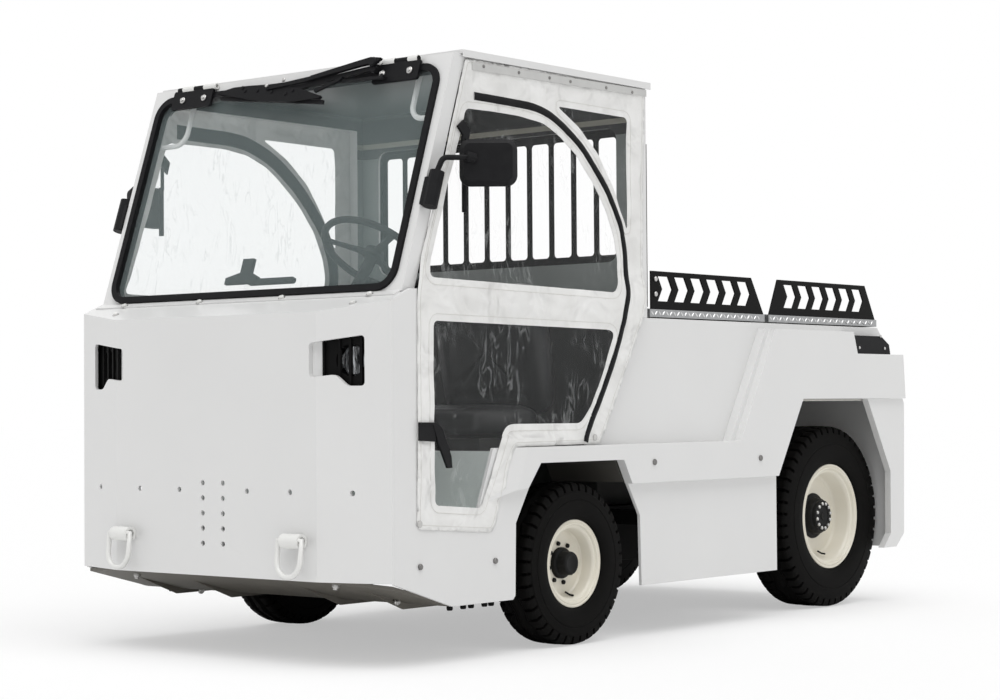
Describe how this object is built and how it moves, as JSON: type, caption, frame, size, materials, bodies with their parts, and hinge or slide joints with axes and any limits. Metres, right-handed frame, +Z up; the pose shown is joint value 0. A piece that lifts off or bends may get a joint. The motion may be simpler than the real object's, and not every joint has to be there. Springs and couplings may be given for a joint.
{
  "type": "airport baggage tug",
  "caption": "Two-seat towing tractor with an enclosed cab, zipped vinyl doors, a slatted rear window guard and a low rear deck, used to pull baggage carts.",
  "frame": {"origin": "on the floor under the middle of the machine", "axes": "+Z up, the front faces -Y, the driver's left side faces +X"},
  "size_m": [1.7415, 3.2376, 1.913],
  "materials": {
    "body_white": "smooth off-white gloss paint",
    "frame_black": "satin black paint",
    "cab_grey": "light grey paint",
    "black_plastic": "grained black plastic",
    "seal_rubber": "black rubber",
    "screen_glass": "clear, slightly green glass",
    "curtain_vinyl": "warm white coated vinyl with clear panes",
    "pane_clear": "clear soft vinyl window, slightly hazy",
    "lamp_glass": "clear moulded lamp glass",
    "strip_aluminium": "bright tread plate and strip",
    "seat_vinyl": "black ribbed seat vinyl",
    "engine_iron": "dark cast iron",
    "ring_white": "white painted forged steel",
    "rim_cream": "cream gloss paint",
    "tyre_rubber": "black tyre rubber"
  },
  "bodies": {
    "chassis": {"front_panel": "body_white", "side_body_left": "body_white", "side_body_right": "body_white", "rear_body": "body_white", "rear_bumper": "body_white", "cab_frame": "body_white", "roof": "body_white", "belly_plate": "frame_black", "chassis_frame": "frame_black", "rear_guard": "frame_black", "lamp_pods": "frame_black", "arch_liners": "frame_black", "screen_latch": "frame_black", "door_straps": "frame_black", "front_axle": "frame_black", "rear_axle": "frame_black", "cab_floor": "cab_grey", "dashboard": "black_plastic", "steering_wheel": "black_plastic", "mirror_left": "black_plastic", "mirror_right": "black_plastic", "wiper": "black_plastic", "tail_lamps": "black_plastic", "windscreen_seal": "seal_rubber", "windscreen": "screen_glass", "door_curtain_left": "curtain_vinyl", "door_curtain_right": "curtain_vinyl", "door_panes_left": "pane_clear", "door_panes_right": "pane_clear", "headlamps": "lamp_glass", "roof_strips": "strip_aluminium", "driver_seat": "seat_vinyl", "passenger_seat": "seat_vinyl", "engine_block": "engine_iron", "tow_rings": "ring_white"},
    "knuckle_left": {"knuckle_left": "frame_black"},
    "knuckle_right": {"knuckle_right": "frame_black"},
    "front_wheel_left": {"front_rim_left": "rim_cream", "front_tyre_left": "tyre_rubber"},
    "front_wheel_right": {"front_rim_right": "rim_cream", "front_tyre_right": "tyre_rubber"},
    "rear_wheel_left": {"rear_rim_left": "rim_cream", "rear_tyre_left": "tyre_rubber"},
    "rear_wheel_right": {"rear_rim_right": "rim_cream", "rear_tyre_right": "tyre_rubber"},
    "deck_lid_front": {"deck_lid_front": "strip_aluminium", "deck_rails_front": "frame_black"},
    "deck_lid_rear": {"deck_lid_rear": "strip_aluminium", "deck_rails_rear": "frame_black"}
  },
  "joints": [
    {"name": "steer_left", "type": "hinge", "parent": "chassis", "child": "knuckle_left", "pos_m": [0.512, -0.57, 0.27], "axis": [0, 0, 1], "range_deg": [-28, 28]},
    {"name": "steer_right", "type": "hinge", "parent": "chassis", "child": "knuckle_right", "pos_m": [-0.512, -0.57, 0.27], "axis": [0, 0, 1], "range_deg": [-28, 28]},
    {"name": "front_wheel_left_spin", "type": "hinge", "parent": "knuckle_left", "child": "front_wheel_left", "pos_m": [0.617, -0.57, 0.27], "axis": [1, 0, 0], "continuous": true},
    {"name": "front_wheel_right_spin", "type": "hinge", "parent": "knuckle_right", "child": "front_wheel_right", "pos_m": [-0.617, -0.57, 0.27], "axis": [1, 0, 0], "continuous": true},
    {"name": "rear_wheel_left_spin", "type": "hinge", "parent": "chassis", "child": "rear_wheel_left", "pos_m": [0.55, 1.133, 0.353], "axis": [1, 0, 0], "continuous": true},
    {"name": "rear_wheel_right_spin", "type": "hinge", "parent": "chassis", "child": "rear_wheel_right", "pos_m": [-0.55, 1.133, 0.353], "axis": [1, 0, 0], "continuous": true},
    {"name": "deck_lid_front_hinge", "type": "hinge", "parent": "chassis", "child": "deck_lid_front", "pos_m": [-0.682, 0.25, 1.098], "axis": [0, -1, 0], "range_deg": [0, 75]},
    {"name": "deck_lid_rear_hinge", "type": "hinge", "parent": "chassis", "child": "deck_lid_rear", "pos_m": [-0.682, 1.04, 1.098], "axis": [0, -1, 0], "range_deg": [0, 75]}
  ],
  "couplings": [
    {"joint": "steer_right", "follows": "steer_left", "ratio": 1}
  ]
}
